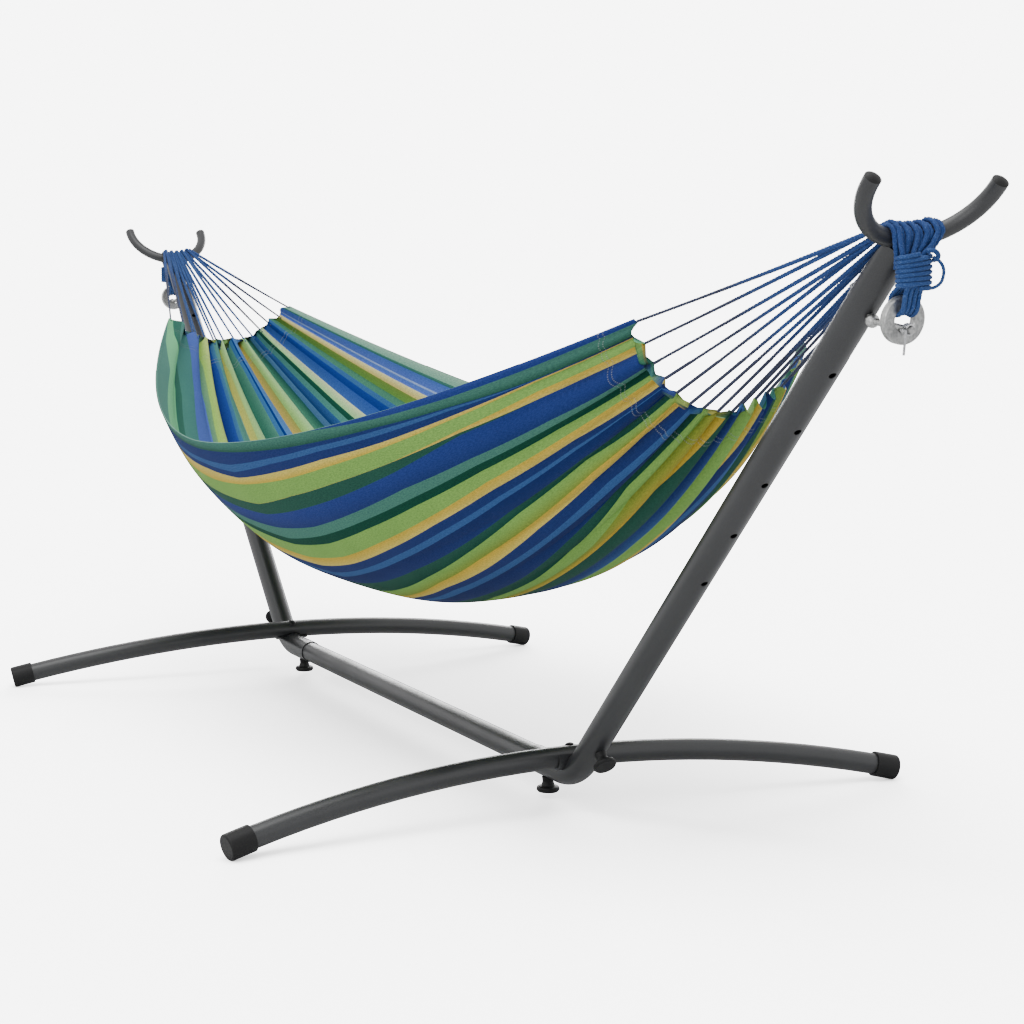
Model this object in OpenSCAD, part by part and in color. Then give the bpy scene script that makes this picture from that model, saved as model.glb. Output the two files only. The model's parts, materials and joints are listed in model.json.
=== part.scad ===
// Hammock on a free-standing steel stand.
// Origin: on the floor, under the middle of the stand. X runs along the beam and the hammock,
// Y across it along the feet, Z up. "near" is the +X end, "far" the -X end,
// "front" the -Y side and "back" the +Y side.

/* [Frame tubes] */
// Half of the distance between the two corners where the beam's axis meets a post's axis
corner_x = 630; // [600:5:660]
// Height of the beam's axis above the floor
beam_z = 52.5; // [50:0.5:60]
// Outer diameter of the elbows and posts
post_d = 40; // [38:0.5:42]
// Wall of the elbows and posts
tube_wall = 1.5; // [1.2:0.1:2]
// Outer diameter of the centre beam, which slides into the elbows
beam_d = 36.8; // [34:0.1:36.9]
// Lean of the posts away from vertical
post_lean = 45; // [42:1:48]
// Distance along a post's axis from its corner to the middle of the horn bar
post_reach = 1093; // [1050:1:1130]
// Bend radius of an elbow at its axis
bend_r = 110; // [95:5:120]

/* [Adjustment holes] */
// Diameter of the holes that take the rope anchor
hole_d = 9.5; // [9:0.1:11]
// Number of holes in each post
hole_count = 6; // [4:1:6]
// Distance between neighbouring holes
hole_pitch = 100; // [90:5:100]
// Distance along the post from its corner to the lowest hole
first_hole = 493; // [480:1:500]

/* [Feet] */
// Outer diameter of a foot tube
foot_d = 32; // [30:0.5:34]
// Distance from the stand's middle line to the end of a foot tube
foot_half = 544; // [500:1:600]
// Rise of a foot's arch, measured in its own leaning plane
foot_rise = 77.8; // [60:0.1:90]
// Lean of a foot's arch towards the middle of the stand
foot_lean = 37; // [30:1:42]
// Height of a foot's axis at the top of its arch
foot_mid_z = 80.5; // [78:0.5:86]
// How far a foot's axis lies inboard of the corner at the top of its arch
foot_inset = 11.4; // [8:0.2:16]
// Outer diameter of a foot's end cap
foot_cap_d = 38; // [36:0.5:40]
// Length of a foot tube that its end cap covers
foot_cap_cover = 34; // [20:1:50]

/* [Horns] */
// Diameter of a horn bar
horn_d = 20; // [18:0.5:22]
// Radius of a horn bar's half circle at its axis
horn_r = 84; // [70:1:95]
// Straight length at each tip of a horn bar
horn_tip = 5; // [2:1:20]

/* [Rope anchor] */
// Outer diameter of the ring
ring_d = 55; // [50:1:60]
// Diameter of the ring's hole
ring_hole_d = 26; // [24:0.5:28]
// Thickness of the ring
ring_t = 10; // [8:0.5:12]
// Diameter of the anchor pin
pin_d = 8; // [7:0.5:9]
// Diameter of the ball collar on the anchor pin
ball_d = 16.6; // [14:0.2:18]

/* [Bed] */
// Thickness of the fabric body
cloth_t = 4; // [3:0.5:6]
// Sag of the bed's middle line below the gathering points
sag_mid = 579; // [540:1:600]
// Sag of the front edge below the gathering points
sag_front = 306; // [280:1:330]
// Sag of the back edge below the gathering points
sag_back = 320; // [280:1:340]
// Spread of the front edge from the middle line
spread_front = 379; // [350:1:400]
// Spread of the back edge from the middle line
spread_back = 456; // [400:1:480]
// Number of cords at each end
cord_count = 16; // [12:1:18]
// Diameter of a cord
cord_d = 4.6; // [4:0.2:6]

/* [Hidden] */
$fn = 48;
eps = 0.01;
inner_d = post_d - 2 * tube_wall;
bend_run = bend_r * tan((90 - post_lean) / 2);
elbow_leg = 130;
post_start = 62;
spigot_end = 150;
knob_run = 90;
knob_d = 34;
knob_reach = 43;
horn_x = corner_x + post_reach * sin(post_lean);
horn_z = beam_z + post_reach * cos(post_lean);
foot_x = corner_x - foot_inset;
foot_r = (foot_half * foot_half + foot_rise * foot_rise) / (2 * foot_rise);
foot_arc = asin(foot_half / foot_r);
foot_cap_arc = foot_cap_cover / foot_r * 180 / PI;
saddle_t = 3;
saddle_in = foot_d / 2 + 0.3;
saddle_half = 30;
anchor_run = first_hole + (hole_count - 1) * hole_pitch;
// Middle of the ball collar, which rests on the mouth of the hole
ball_out = post_d / 2 + 7.6;
ball_x = corner_x + anchor_run * sin(post_lean) + ball_out * cos(post_lean);
ball_z = beam_z + anchor_run * cos(post_lean) - ball_out * sin(post_lean);
ring_x = 1407;
arm_drop = 7;
arm_len = 76;
arm_run = (ring_x - ball_x) / cos(arm_drop);
ring_lift = ring_hole_d / 2 - pin_d / 2 - 0.05;
clip_wire = 3;
clip_turns = 3;
clip_leg = 28;
// Rope bundle over the horn bar
wrap_t = 7.5;
wrap_half_arc = 23;
whip_top = 811;
whip_bottom = 769;
whip_x = 1427;
// Points of the loose loop that stands off the whipping
tail_points = [
    [1436, 22, 808], [1437, 30, 803], [1437, 35, 795], [1436, 36, 786], [1434, 33, 778],
    [1431, 27, 772], [1428, 21, 771]
];
tail_d = 4.4;
// Gathering points of the bed's fibres
gather_x = 1269;
gather_z = 823;
// End of the cloth: along the middle line, the front edge and the back edge
near_end = [1024, 1012, 939];
far_end = [1043, 921, 1010];
edge_power = 1.8;
mid_power = 2.3;
end_power = 2.4;
front_turn = 40;
back_turn = 13;
band_u = 0.955;
// Cross cuts of the bed, which is one canvas held as a row of panels
panel_cuts = [-780, -640, -480, -280, 0, 280, 480, 640, 780];
panel_rows = 4;
rows_u = 44;
rows_v = 22;
steel = "#3f4144";
black = "#18191a";
zinc = "#b9bcbe";
blue = "#2f55a5";

// ---------------------------------------------------------------- placing

// Mirrors what is drawn for the near end to the far end
module at_end(side) {
    mirror([side < 0 ? 1 : 0, 0, 0]) children();
}

module at_both_ends() {
    for (side = [-1, 1]) at_end(side) children();
}

// Local Z along the post, local X square to it on the outboard side, t along the post's axis
module on_post(t) {
    translate([corner_x, 0, beam_z]) rotate([0, post_lean, 0]) translate([0, 0, t]) children();
}

// Frame of a foot's arch: origin at the arch's centre, local Y towards the top of the arch,
// local X along the object's Y
module on_arch() {
    translate([foot_x, 0, foot_mid_z]) rotate([0, -foot_lean, 0])
        rotate([0, 0, 90]) rotate([90, 0, 0]) translate([0, -foot_r, 0]) children();
}

// Local X along the foot tube, outwards, at the end given by hand (1 back, -1 front)
module at_foot_end(hand) {
    on_arch() mirror([hand < 0 ? 1 : 0, 0, 0]) rotate([0, 0, -foot_arc]) translate([0, foot_r, 0])
        children();
}

// Local Z points from the foot's axis down through the saddle
module on_foot_bolt() {
    translate([foot_x, 0, foot_mid_z]) rotate([0, 180 - foot_lean, 0]) children();
}

// Frame of a horn: origin at the centre of its half circle, local Y back, local X along the post
module on_horn() {
    on_post(post_reach + horn_r) rotate([0, -90, 0]) children();
}

// Local X along the anchor pin's arm, origin at the ball collar
module on_arm() {
    translate([ball_x, 0, ball_z]) rotate([0, arm_drop, 0]) children();
}

// ---------------------------------------------------------------- frame tubes

module centre_beam() {
    half = corner_x - 60;
    color(steel) translate([-half, 0, beam_z]) rotate([0, 90, 0]) difference() {
        cylinder(d = beam_d, h = 2 * half);
        translate([0, 0, -1]) cylinder(d = beam_d - 2 * tube_wall, h = 2 * half + 2);
        for (z = [half - corner_x + knob_run, half + corner_x - knob_run])
            translate([0, 0, z]) rotate([0, 90, 0]) cylinder(d = pin_d + 0.4, h = beam_d);
    }
}

// Two straight legs and the bend between them; the legs are a hair thicker than the bend
module elbow_body(d, leg, top) {
    translate([corner_x - leg, 0, beam_z]) rotate([0, 90, 0])
        cylinder(d = d + 0.02, h = leg - bend_run + 0.5);
    translate([corner_x - bend_run, 0, beam_z + bend_r]) rotate([90, 0, 0]) rotate([0, 0, -90])
        rotate_extrude(angle = 90 - post_lean) translate([bend_r, 0]) circle(d = d);
    on_post(bend_run - 0.5) cylinder(d = d + 0.02, h = top - bend_run + 0.5);
}

module elbow() {
    color(steel) difference() {
        union() {
            elbow_body(post_d, elbow_leg, post_start);
            on_post(post_start - eps) cylinder(d = inner_d - 0.2, h = spigot_end - post_start);
        }
        elbow_body(inner_d, elbow_leg + 1, post_start - 4);
        on_post(post_start - 5) cylinder(d = inner_d - 3.4, h = spigot_end - post_start + 20);
        translate([foot_x, 0, foot_mid_z]) rotate([90, 0, 0])
            cylinder(r = saddle_in + saddle_t, h = 3 * post_d, center = true);
        translate([corner_x - knob_run, 0, beam_z - post_d]) cylinder(d = pin_d + 0.4, h = post_d);
        on_post(knob_run) rotate([0, 90, 0]) cylinder(d = pin_d + 0.4, h = post_d);
    }
}

module post() {
    color(steel) difference() {
        on_post(post_start) cylinder(d = post_d, h = post_reach - post_start - 4);
        on_post(post_start - 1) cylinder(d = inner_d, h = post_reach - post_start - 46);
        for (i = [0:hole_count - 1]) on_post(first_hole + i * hole_pitch) rotate([0, 90, 0])
            cylinder(d = hole_d, h = 2 * post_d, center = true);
        on_post(knob_run) rotate([0, 90, 0]) cylinder(d = pin_d + 0.4, h = post_d);
        horn_seat();
        rope_bevel();
    }
}

// Bed of the horn bar in the post's top
module horn_seat() {
    on_horn() rotate([0, 0, 135]) rotate_extrude(angle = 90) translate([horn_r, 0])
        circle(d = horn_d + 0.02);
}

// Slanted cut that keeps the post's top clear of the ropes
module rope_bevel() {
    translate([horn_x - 5, 0, horn_z - 4]) rotate([0, -32, 0]) translate([-200, -50, 0])
        cube([300, 100, 100]);
}

module horn() {
    color(steel) on_horn() {
        difference() {
            horn_tube(horn_d, 0);
            horn_tube(horn_d - 4, 1);
        }
    }
}

module horn_tube(d, extra) {
    rotate([0, 0, 90]) rotate_extrude(angle = 180) translate([horn_r, 0]) circle(d = d);
    for (y = [-horn_r, horn_r]) translate([0, y, 0]) rotate([0, 90, 0])
        cylinder(d = d, h = horn_tip + extra);
}

module horn_plug(hand) {
    color(black) on_horn() translate([horn_tip, hand * horn_r, 0]) rotate([0, 90, 0]) {
        translate([0, 0, -horn_tip]) cylinder(d = horn_d - 4.1, h = horn_tip);
        rotate_extrude() dome_profile(horn_d / 2, 3.4);
    }
}

// Half of a low dome's section: flat underneath, round above
module dome_profile(r, h) {
    intersection() {
        translate([0, h - (r * r + h * h) / (2 * h)]) circle(r = (r * r + h * h) / (2 * h), $fn = 96);
        square([r, h]);
    }
}

// ---------------------------------------------------------------- feet

module foot() {
    color(steel) difference() {
        on_arch() rotate([0, 0, 90 - foot_arc])
            rotate_extrude(angle = 2 * foot_arc, $fn = 720) translate([foot_r, 0]) difference() {
                circle(d = foot_d, $fn = 48);
                circle(d = foot_d - 2 * tube_wall, $fn = 48);
            }
        on_foot_bolt() cylinder(d = pin_d + 0.4, h = 3 * foot_d, center = true);
    }
}

module foot_cap(hand) {
    color(black) difference() {
        union() {
            on_arch() mirror([hand < 0 ? 1 : 0, 0, 0]) rotate([0, 0, 90 - foot_arc])
                rotate_extrude(angle = foot_cap_arc) translate([foot_r, 0]) difference() {
                    circle(d = foot_cap_d);
                    circle(d = foot_d + 0.1);
                }
            at_foot_end(hand) rotate([0, 90, 0]) rotate_extrude() cap_end_profile();
        }
        translate([0, 0, -50]) cube([4000, 4000, 100], center = true);
    }
}

// Half of the section of a cap's closed end, with its rounded rim
module cap_end_profile() {
    r = foot_cap_d / 2;
    edge = 3;
    square([r, 1.5]);
    translate([0, 1]) square([r - edge, edge + 0.5]);
    intersection() {
        translate([r - edge, 1.5]) circle(r = edge);
        translate([0, 1.5]) square([r, edge]);
    }
}

// Half sleeve welded into the elbow, which carries the foot
module saddle() {
    color(steel) difference() {
        translate([foot_x, 0, foot_mid_z]) rotate([90, 0, 0])
            cylinder(r = saddle_in + saddle_t, h = 2 * saddle_half, center = true);
        translate([foot_x, 0, foot_mid_z]) rotate([90, 0, 0])
            cylinder(r = saddle_in, h = 3 * saddle_half, center = true);
        on_foot_bolt() translate([-50, -50, -96]) cube([100, 100, 100]);
        on_foot_bolt() cylinder(d = pin_d + 0.4, h = 30);
    }
}

module foot_bolt() {
    head_top = -foot_d / 2 - 0.2;
    color(black) on_foot_bolt() {
        translate([0, 0, head_top]) mirror([0, 0, 1]) rotate_extrude() dome_profile(8, 4.5);
        translate([0, 0, head_top - eps]) cylinder(d = pin_d, h = foot_d + 10);
    }
}

module saddle_nut() {
    color(zinc) on_foot_bolt() translate([0, 0, saddle_in + saddle_t + 0.5]) difference() {
        cylinder(d = 14, h = 7, $fn = 6);
        translate([0, 0, -1]) cylinder(d = pin_d, h = 9, $fn = 48);
    }
}

// Mushroom-headed screw: local Z points from the tube's axis out through its wall
module knob() {
    color(black) {
        translate([0, 0, 8]) cylinder(d = pin_d, h = knob_reach - 16);
        translate([0, 0, post_d / 2 + 0.2]) rotate_extrude() knob_profile();
    }
}

module knob_profile() {
    h = knob_reach - post_d / 2 - 0.2;
    polygon([[0, 0], [9, 0], [8, 8], [10, h - 9], [knob_d / 2 - 1, h - 7], [knob_d / 2, h - 5],
        [knob_d / 2, h - 2.5], [knob_d / 2 - 2, h], [0, h]]);
}

module beam_knob() {
    translate([corner_x - knob_run, 0, beam_z]) rotate([180, 0, 0]) knob();
}

module post_knob() {
    on_post(knob_run) rotate([0, 90, 0]) knob();
}

// ---------------------------------------------------------------- rope anchor

module anchor_pin() {
    color(zinc) {
        on_post(anchor_run) rotate([0, 90, 0]) translate([0, 0, -post_d / 2 - 9])
            cylinder(d = pin_d, h = post_d / 2 + 9 + ball_out);
        translate([ball_x, 0, ball_z]) sphere(d = ball_d);
        on_arm() rotate([0, 90, 0]) cylinder(d = pin_d, h = arm_len);
    }
}

module ring() {
    color(zinc) on_arm() translate([arm_run, 0, ring_lift]) rotate([0, 90, 0])
        rotate_extrude() translate([ring_hole_d / 2, -ring_t / 2]) ring_profile();
}

module ring_profile() {
    w = (ring_d - ring_hole_d) / 2;
    c = 1.2;
    polygon([[c, 0], [w - c, 0], [w, c], [w, ring_t - c], [w - c, ring_t], [c, ring_t],
        [0, ring_t - c], [0, c]]);
}

// Spring clip: a close coil round the arm's end, whose wire runs off as a straight leg
module safety_clip() {
    coil_r = (pin_d + clip_wire) / 2 + 0.3;
    steps = 12;
    coil = [for (i = [0:clip_turns * steps])
        [i / steps * (clip_wire + 0.1), coil_r * cos(360 * i / steps), coil_r * sin(360 * i / steps)]];
    leg = [for (i = [1:4]) [coil[len(coil) - 1][0], coil_r, -clip_leg * i / 4]];
    color(zinc) on_arm() translate([arm_run + ring_t / 2 + 0.4 + clip_wire / 2, 0, 0])
        mirror([0, 1, 0]) mirror([0, 0, 1]) tube_along(concat(coil, [for (p = leg) [p[0], p[1], -p[2]]]),
            clip_wire, 8);
}

// ---------------------------------------------------------------- ropes at the horn

// Piece of a ring between two radii and two angles
module ring_sector(r1, r2, a1, a2) {
    difference() {
        intersection() {
            circle(r = r2);
            polygon([[0, 0], for (a = [a1:(a2 - a1) / 4:a2 + eps]) 3 * r2 * [cos(a), sin(a)]]);
        }
        circle(r = r1);
    }
}

// Rope bundle over the horn bar, from the outboard side across its top to the inboard side
module bar_wrap() {
    r = horn_d / 2 + 0.3;
    turn = 90 - post_lean;
    color(blue) on_horn() rotate([0, 0, 180 - wrap_half_arc]) rotate_extrude(angle = 2 * wrap_half_arc)
        translate([horn_r, 0]) ring_sector(r, r + wrap_t, 90 + turn - 4, 90 + turn + 112);
}

// Ropes from the horn bar down to the whipping
module rope_drop() {
    color(blue) difference() {
        hull() {
            translate([horn_x + horn_d / 2 + 0.6, -28, horn_z - 5]) cube([wrap_t, 56, 3]);
            translate([whip_x - 12, -21, whip_top + 0.1]) cube([24, 42, 1]);
        }
        on_horn() rotate([0, 0, 150]) rotate_extrude(angle = 60) translate([horn_r, 0])
            circle(r = horn_d / 2 + wrap_t + 0.5);
    }
}

module whipping() {
    color(blue) {
        hull() for (y = [-11, 11]) translate([whip_x, y, whip_bottom])
            cylinder(d = 24, h = whip_top - whip_bottom, $fn = 24);
        tube_along(tail_points, tail_d, 8);
    }
}

// Rope loops from the whipping through the ring
module rope_eye() {
    color(blue) difference() {
        for (y = [-4.2, 4.2]) translate([ring_x + 3.5, y, 758.3]) rotate([90, 0, 0])
            rotate_extrude() translate([14, 0]) circle(d = 8);
        translate([0, -50, whip_bottom - 0.1]) cube([2000, 100, 100]);
    }
}

// ---------------------------------------------------------------- bed

function end_at(u, v) =
    let (e = u > 0 ? near_end : far_end, edge = v < 0 ? e[1] : e[2])
    e[0] + (edge - e[0]) * pow(abs(v), end_power);

// 0 at the gathering points, 1 in the middle of the bed
function fall(x, end, power) =
    let (k = 1 / (pow(end, power) + power * pow(end, power - 1) * (gather_x - end)))
    1 - k * pow(abs(x), power);

// Share of the way from the edge's depth down to the middle line's depth
function bowl(v) =
    let (turn = v < 0 ? front_turn : back_turn)
    (1 - cos(turn * abs(v))) / (1 - cos(turn));

function sway(v) =
    let (turn = v < 0 ? front_turn : back_turn, spread = v < 0 ? spread_front : spread_back)
    spread * sin(turn * v) / sin(turn);

// Point of the cloth: u from -1 (far end) to 1 (near end), v from -1 (front) to 1 (back)
function cloth_point(u, v) =
    let (end = end_at(u, v),
        power = mid_power + (edge_power - mid_power) * pow(abs(v), end_power),
        g = fall(u * end, end, power),
        sag = sag_mid + ((v < 0 ? sag_front : sag_back) - sag_mid) * bowl(v))
    [u * end, sway(v) * g, gather_z - sag * g];

function unit(a) = a / norm(a);

function cloth_normal(u, v) =
    let (d = 0.002)
    unit(cross(cloth_point(u + d, v) - cloth_point(u - d, v),
        cloth_point(u, v + d) - cloth_point(u, v - d)));

// u at which cross cut i meets the cloth's line v; the first and last cuts are at the end bands
function cut_u(i, v) =
    i == 1 ? -band_u : i == len(panel_cuts) + 2 ? band_u :
    panel_cuts[i - 2] / end_at(panel_cuts[i - 2], v);

// Closed shell over a grid of u and v, nu by nv cells, t thick, centred on the cloth
module cloth_patch(at, nu, nv, t) {
    upper = [for (p = at) cloth_point(p[0], p[1]) + cloth_normal(p[0], p[1]) * t / 2];
    lower = [for (p = at) cloth_point(p[0], p[1]) - cloth_normal(p[0], p[1]) * t / 2];
    n = (nu + 1) * (nv + 1);
    w = nv + 1;
    quads = concat(
        [for (i = [0:nu - 1]) for (j = [0:nv - 1]) let (a = i * w + j) [a, a + 1, a + w + 1, a + w]],
        [for (i = [0:nu - 1]) for (j = [0:nv - 1]) let (a = n + i * w + j) [a, a + w, a + w + 1, a + 1]],
        [for (i = [0:nu - 1]) let (a = i * w) [a, a + w, n + a + w, n + a]],
        [for (i = [0:nu - 1]) let (a = i * w + nv) [a, n + a, n + a + w, a + w]],
        [for (j = [0:nv - 1]) let (a = j) [a, n + a, n + a + 1, a + 1]],
        [for (j = [0:nv - 1]) let (a = nu * w + j) [a, a + 1, n + a + 1, n + a]]);
    polyhedron(concat(upper, lower), [for (q = quads) each [[q[0], q[1], q[2]], [q[0], q[2], q[3]]]]);
}

// Round tube through a list of points
module tube_along(points, d, sides) {
    last = len(points) - 1;
    rings = [for (i = [0:last])
        let (way = unit(points[min(i + 1, last)] - points[max(i - 1, 0)]),
            side = unit(cross(way, abs(way[2]) > 0.9 ? [0, 1, 0] : [0, 0, 1])),
            up = cross(side, way))
        for (k = [0:sides - 1])
            points[i] + d / 2 * (side * cos(360 * k / sides) + up * sin(360 * k / sides))];
    walls = [for (i = [0:last - 1]) for (k = [0:sides - 1])
        let (a = i * sides + k, b = i * sides + (k + 1) % sides) [a, b, b + sides, a + sides]];
    polyhedron(rings, concat([[for (k = [sides - 1:-1:0]) k]],
        [for (q = walls) each [[q[0], q[1], q[2]], [q[0], q[2], q[3]]]],
        [[for (k = [0:sides - 1]) last * sides + k]]));
}

module bed_panel(i) {
    at = [for (row = [0:panel_rows]) for (j = [0:rows_v])
        let (v = -1 + 2 * j / rows_v, a = cut_u(i, v), b = cut_u(i + 1, v))
        [a + (b - a) * row / panel_rows, v]];
    color("#3f6f6a") cloth_patch(at, panel_rows, rows_v, cloth_t);
}

module end_band(side) {
    at = [for (u = [band_u, 1]) for (j = [0:rows_v]) [side * u, side * (-1 + 2 * j / rows_v)]];
    color("#2b4f8f") cloth_patch(at, 1, rows_v, cloth_t);
}

// Rolled hem just beyond a long edge of the cloth
module hem(hand) {
    color("#6aa58f") tube_along([for (i = [0:rows_u])
        let (u = -1 + 2 * i / rows_u)
        cloth_point(u, hand * 1.006) + [0, hand * 3.2, 0]], 5, 8);
}

function cord_v(i) = 0.98 * (-1 + 2 * i / (cord_count - 1));

module cords(side) {
    for (i = [0:cord_count - 1])
        let (from = cloth_point(side, cord_v(i)),
            to = [side * (gather_x - 7), cord_v(i) * 40, gather_z - 60 + 14 * abs(cord_v(i))])
        color(blue) tube_along([from + 4 * unit(to - from), to], cord_d, 8);
}

// Bundle of the cords between their parting and the horn
module gather(side) {
    color(blue) hull() {
        translate([side * (gather_x - 4) - (side < 0 ? 1 : 0), -40, gather_z - 62]) cube([1, 80, 16]);
        translate([side * 1379 - (side < 0 ? 1 : 0), -14, 829]) cube([1, 28, 9]);
    }
}

// ---------------------------------------------------------------- nodes

centre_beam();
at_end(1) elbow();  // near_elbow
at_end(-1) elbow();  // far_elbow
at_end(1) post();  // near_post
at_end(-1) post();  // far_post
at_end(1) horn();  // near_horn
at_end(-1) horn();  // far_horn
at_end(1) horn_plug(-1);  // near_horn_plug_front
at_end(1) horn_plug(1);  // near_horn_plug_back
at_end(-1) horn_plug(-1);  // far_horn_plug_front
at_end(-1) horn_plug(1);  // far_horn_plug_back
at_end(1) foot();  // near_foot
at_end(-1) foot();  // far_foot
at_end(1) foot_cap(-1);  // near_foot_cap_front
at_end(1) foot_cap(1);  // near_foot_cap_back
at_end(-1) foot_cap(-1);  // far_foot_cap_front
at_end(-1) foot_cap(1);  // far_foot_cap_back
at_end(1) saddle();  // near_saddle
at_end(-1) saddle();  // far_saddle
at_both_ends() foot_bolt();  // foot_bolts
at_both_ends() saddle_nut();  // saddle_nuts
at_end(1) beam_knob();  // near_beam_knob
at_end(-1) beam_knob();  // far_beam_knob
at_end(1) post_knob();  // near_post_knob
at_end(-1) post_knob();  // far_post_knob
at_end(1) anchor_pin();  // near_anchor_pin
at_end(-1) anchor_pin();  // far_anchor_pin
at_end(1) ring();  // near_ring
at_end(-1) ring();  // far_ring
at_end(1) safety_clip();  // near_safety_clip
at_end(-1) safety_clip();  // far_safety_clip
at_end(1) bar_wrap();  // near_bar_wrap
at_end(-1) bar_wrap();  // far_bar_wrap
at_end(1) rope_drop();  // near_rope_drop
at_end(-1) rope_drop();  // far_rope_drop
at_end(1) whipping();  // near_whipping
at_end(-1) whipping();  // far_whipping
at_end(1) rope_eye();  // near_rope_eye
at_end(-1) rope_eye();  // far_rope_eye
bed_panel(1);  // bed_panel_1
bed_panel(2);  // bed_panel_2
bed_panel(3);  // bed_panel_3
bed_panel(4);  // bed_panel_4
bed_panel(5);  // bed_panel_5
bed_panel(6);  // bed_panel_6
bed_panel(7);  // bed_panel_7
bed_panel(8);  // bed_panel_8
bed_panel(9);  // bed_panel_9
bed_panel(10);  // bed_panel_10
hem(-1);  // front_hem
hem(1);  // back_hem
end_band(1);  // near_end_band
end_band(-1);  // far_end_band
cords(1);  // near_cords
cords(-1);  // far_cords
gather(1);  // near_gather
gather(-1);  // far_gather
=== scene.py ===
"""Looks of the hammock on its stand. Lengths in the geometry code are millimetres, scaled on mesh making."""
import json
import math

import bpy
import numpy as np
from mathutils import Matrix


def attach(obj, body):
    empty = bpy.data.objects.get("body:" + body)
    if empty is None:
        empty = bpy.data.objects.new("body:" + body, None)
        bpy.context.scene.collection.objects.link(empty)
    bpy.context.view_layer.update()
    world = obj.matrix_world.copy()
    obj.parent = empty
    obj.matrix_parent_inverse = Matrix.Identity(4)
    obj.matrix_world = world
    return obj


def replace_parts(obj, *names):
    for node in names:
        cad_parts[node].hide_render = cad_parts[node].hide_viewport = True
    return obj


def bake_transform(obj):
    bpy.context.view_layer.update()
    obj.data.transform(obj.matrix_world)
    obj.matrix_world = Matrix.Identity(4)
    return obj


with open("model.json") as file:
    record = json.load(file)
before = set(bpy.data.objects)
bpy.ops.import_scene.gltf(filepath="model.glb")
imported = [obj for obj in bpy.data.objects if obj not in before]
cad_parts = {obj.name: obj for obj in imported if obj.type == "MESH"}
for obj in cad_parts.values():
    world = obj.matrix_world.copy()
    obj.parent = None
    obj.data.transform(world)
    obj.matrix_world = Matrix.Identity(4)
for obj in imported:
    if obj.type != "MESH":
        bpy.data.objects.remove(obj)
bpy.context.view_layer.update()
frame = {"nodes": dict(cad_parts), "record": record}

# ---------------------------------------------------------------- camera
cam_data = bpy.data.cameras.new("camera")
cam = bpy.data.objects.new("camera", cam_data)
bpy.context.scene.collection.objects.link(cam)
# Focal length, place and turn come from solving the photo as one perspective camera
cam_data.lens = 72.88
cam_data.sensor_width = 36
cam.location = (3.2932, -1.3804, 0.7817)
LOOK_DOWN, ROLL, HEADING = 6.42, -0.09, 154.41
cam.rotation_euler = (math.radians(90 - LOOK_DOWN), math.radians(ROLL), math.radians(HEADING - 90))
bpy.context.scene.camera = cam


# ---------------------------------------------------------------- shader helpers
def srgb(r, g, b):
    """Linear colour from screen values of 0 to 255."""
    def one(x):
        x = x / 255
        return x / 12.92 if x <= 0.04045 else ((x + 0.055) / 1.055) ** 2.4
    return (one(r), one(g), one(b), 1.0)


class Shader:
    """Short names for wiring a node tree."""

    def __init__(self, name):
        self.mat = bpy.data.materials.new(name)
        self.mat.use_nodes = True
        self.tree = self.mat.node_tree
        self.bsdf = next(n for n in self.tree.nodes if n.type == "BSDF_PRINCIPLED")

    def node(self, kind, **values):
        n = self.tree.nodes.new(kind)
        for key, value in values.items():
            if key in n.inputs:
                n.inputs[key].default_value = value
            else:
                setattr(n, key, value)
        return n

    def link(self, a, b):
        self.tree.links.new(a, b)

    def place(self):
        return self.node("ShaderNodeTexCoord").outputs["Object"]

    def split(self, vector):
        n = self.node("ShaderNodeSeparateXYZ")
        self.link(vector, n.inputs[0])
        return n.outputs["X"], n.outputs["Y"]

    def noise(self, scale, detail=3.0, vector=None, rough=0.5):
        n = self.node("ShaderNodeTexNoise", Scale=scale, Detail=detail, Roughness=rough)
        self.link(vector or self.place(), n.inputs["Vector"])
        return n.outputs["Fac"]

    def remap(self, value, a, b, c, d):
        n = self.node("ShaderNodeMapRange")
        for key, x in zip(("From Min", "From Max", "To Min", "To Max"), (a, b, c, d)):
            n.inputs[key].default_value = x
        self.link(value, n.inputs["Value"])
        return n.outputs["Result"]

    def math(self, op, a, b):
        n = self.node("ShaderNodeMath", operation=op)
        for i, x in enumerate((a, b)):
            if isinstance(x, (int, float)):
                n.inputs[i].default_value = x
            else:
                self.link(x, n.inputs[i])
        return n.outputs["Value"]

    def mix(self, fac, a, b, how="MIX"):
        """Mix of two colours; inputs 0, 6 and 7 are the node's factor and its colours."""
        n = self.node("ShaderNodeMix", data_type="RGBA", blend_type=how)
        for i, x in ((0, fac), (6, a), (7, b)):
            if isinstance(x, (int, float, tuple)):
                n.inputs[i].default_value = x
            else:
                self.link(x, n.inputs[i])
        return n.outputs[2]

    def tint(self, colour, factors):
        return self.mix(1.0, colour, (*factors, 1), "MULTIPLY")

    def bump(self, height, distance, strength):
        n = self.node("ShaderNodeBump", Distance=distance, Strength=strength)
        self.link(height, n.inputs["Height"])
        self.link(n.outputs["Normal"], self.bsdf.inputs["Normal"])

    def put(self, **values):
        for key, value in values.items():
            self.bsdf.inputs[key.replace("_", " ")].default_value = value


def powder_steel():
    s = Shader("charcoal_powder_coat")
    speckle = s.noise(900, 2)
    cloud = s.noise(9, 3)
    colour = s.mix(s.remap(speckle, 0.35, 0.7, 0, 1), srgb(25, 26, 28), srgb(41, 42, 44))
    colour = s.mix(s.remap(cloud, 0.3, 0.7, 0, 0.2), colour, srgb(64, 65, 67))
    s.link(colour, s.bsdf.inputs["Base Color"])
    s.link(s.remap(cloud, 0.3, 0.7, 0.34, 0.44), s.bsdf.inputs["Roughness"])
    s.put(Specular_IOR_Level=0.6)
    s.bump(speckle, 0.0002, 0.5)
    return s.mat


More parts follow.
